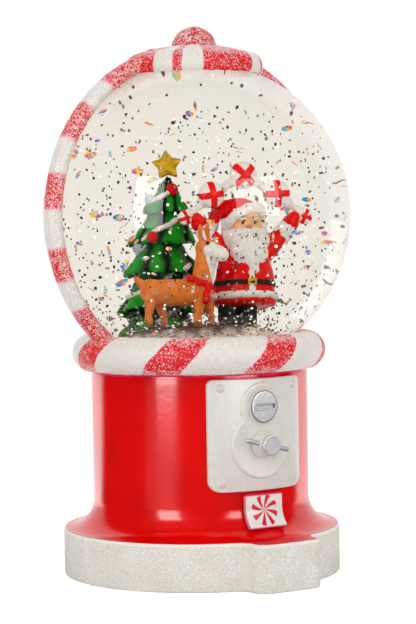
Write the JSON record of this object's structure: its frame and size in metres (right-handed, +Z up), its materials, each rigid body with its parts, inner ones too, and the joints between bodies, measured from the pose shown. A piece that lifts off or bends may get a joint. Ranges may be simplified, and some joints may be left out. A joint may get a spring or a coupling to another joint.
{
  "type": "gumball machine water globe",
  "caption": "Table-top water globe shaped as a gumball machine, with candy-striped frame, coin plate, turning handle, chute flap and a winter scene in glass.",
  "frame": {"origin": "on the vertical axis of the globe and the pedestal, in the plane that the machine stands on", "axes": "+Z up; -Y out of the coin plate, handle and flap; +X to the right as seen from the back, so the candy arms stand at +X and -X"},
  "size_m": [0.1326, 0.123, 0.2121],
  "materials": {
    "glitter_white": "white plastic under a coat of glitter",
    "red_gloss": "red gloss paint on plastic",
    "white_plastic": "moulded, plain",
    "ivory_plastic": "satin off-white paint on plastic",
    "candy_flap": "white paint with a red peppermint swirl",
    "silver_paint": "silver paint, satin",
    "steel": "plated steel",
    "candy_frost": "red and white candy stripes under clear frosting grains",
    "red_frost": "red paint under clear frosting grains",
    "clear_glass": "clear blown glass",
    "black_plastic": "moulded, black",
    "cell_wrap": "steel can in a plain printed wrap",
    "white_rubber": "soft silicone rubber",
    "clear_plastic": "translucent moulding",
    "magnet": "nickel-plated magnet",
    "board_green": "green solder mask",
    "ground_paint": "brown and grey painted resin",
    "tree_paint": "green painted resin with white garlands",
    "gold_paint": "gold paint",
    "figure_paint": "painted resin, red coat with white trim",
    "garland_paint": "painted resin, white candies with red stripes",
    "deer_paint": "painted resin, orange brown",
    "scarf_paint": "painted resin, red"
  },
  "bodies": {
    "machine": {"plinth": "glitter_white", "pedestal": "red_gloss", "bottom_cover": "white_plastic", "cover_screws": "steel", "battery_box": "black_plastic", "battery_cells": "cell_wrap", "battery_springs": "steel", "switch_body": "black_plastic", "coin_plate": "ivory_plastic", "plate_rivets": "ivory_plastic", "coin_disc": "silver_paint", "handle_bush": "white_plastic", "flap_pin": "steel", "candy_collar": "candy_frost", "globe": "clear_glass", "left_arm": "candy_frost", "right_arm": "candy_frost", "lid": "candy_frost", "lid_knob": "red_frost", "neck_stopper": "white_rubber", "impeller_pin": "steel", "motor": "steel", "motor_bracket": "steel", "bracket_screws": "steel", "circuit_board": "board_green", "lamps": "clear_plastic", "scene_ground": "ground_paint", "tree": "tree_paint", "tree_star": "gold_paint", "santa": "figure_paint", "candy_garland": "garland_paint", "reindeer": "deer_paint", "reindeer_scarf": "scarf_paint"},
    "handle": {"handle_spindle": "steel", "spindle_clip": "steel", "handle_hub": "white_plastic", "handle_bar": "silver_paint", "handle_button": "silver_paint"},
    "flap": {"chute_flap": "candy_flap"},
    "switch": {"switch_slider": "black_plastic"},
    "battery_hatch": {"battery_door": "white_plastic", "door_screw": "steel"},
    "rotor": {"motor_shaft": "steel", "magnet_carrier": "black_plastic", "drive_magnets": "magnet"},
    "stirrer": {"impeller": "clear_plastic", "impeller_magnets": "magnet"}
  },
  "joints": [
    {"name": "handle_turn", "type": "hinge", "parent": "machine", "child": "handle", "pos_m": [0, -0.04664, 0.0524], "axis": [0, -1, 0], "continuous": true},
    {"name": "flap_swing", "type": "hinge", "parent": "machine", "child": "flap", "pos_m": [0, -0.04315, 0.03335], "axis": [-1, 0, 0], "range_deg": [0, 40]},
    {"name": "switch_slide", "type": "slide", "parent": "machine", "child": "switch", "axis": [0, 1, 0], "range_m": [0, 0.003]},
    {"name": "battery_door_swing", "type": "hinge", "parent": "machine", "child": "battery_hatch", "pos_m": [0, 0.00635, 0.0011], "axis": [-1, 0, 0], "range_deg": [0, 90]},
    {"name": "motor_spin", "type": "hinge", "parent": "machine", "child": "rotor", "pos_m": [0, 0, 0.0684], "axis": [0, 0, 1], "continuous": true},
    {"name": "stirrer_spin", "type": "hinge", "parent": "machine", "child": "stirrer", "pos_m": [0, 0, 0.0793], "axis": [0, 0, 1], "continuous": true}
  ],
  "couplings": [
    {"joint": "stirrer_spin", "follows": "motor_spin", "ratio": 1}
  ]
}
